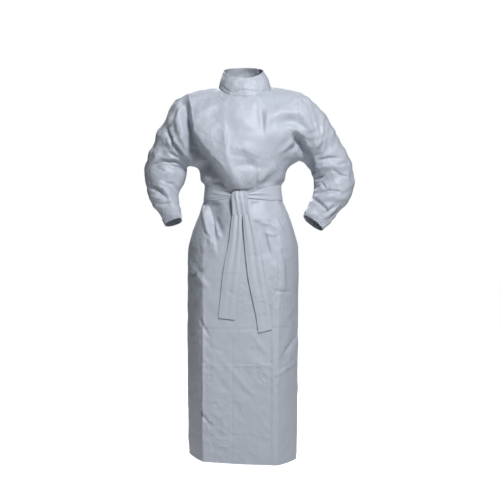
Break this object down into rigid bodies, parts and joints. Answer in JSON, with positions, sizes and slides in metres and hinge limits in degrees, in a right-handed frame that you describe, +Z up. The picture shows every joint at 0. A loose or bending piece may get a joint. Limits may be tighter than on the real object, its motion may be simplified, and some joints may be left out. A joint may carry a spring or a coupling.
{
  "type": "protective gown",
  "caption": "Long rear-closing protective gown of coated cloth with stand collar, elastic cuffs and a tied belt, kept as worn, open at neck, cuffs and hem.",
  "frame": {"origin": "between the shoulders at the base of the neck, on the line of the shoulder seams", "axes": "+Z up along the worn gown, -Y towards its front, +X towards the right of the front view, which is the wearer's left"},
  "size_m": [0.7613, 0.302, 1.4104],
  "materials": {
    "laminate": "semi-gloss coated nonwoven, silver-grey",
    "belt_laminate": "semi-gloss coated nonwoven, silver-grey",
    "cuff_elastic": "gathered coated nonwoven over elastic, silver-grey"
  },
  "bodies": {
    "root": {"front": "laminate", "back_left": "laminate", "back_right": "laminate", "collar": "laminate", "sleeve_left": "laminate", "sleeve_right": "laminate", "cuff_left": "cuff_elastic", "cuff_right": "cuff_elastic", "belt": "belt_laminate", "belt_knot": "belt_laminate", "tail_left": "belt_laminate", "tail_right": "belt_laminate"}
  },
  "joints": []
}
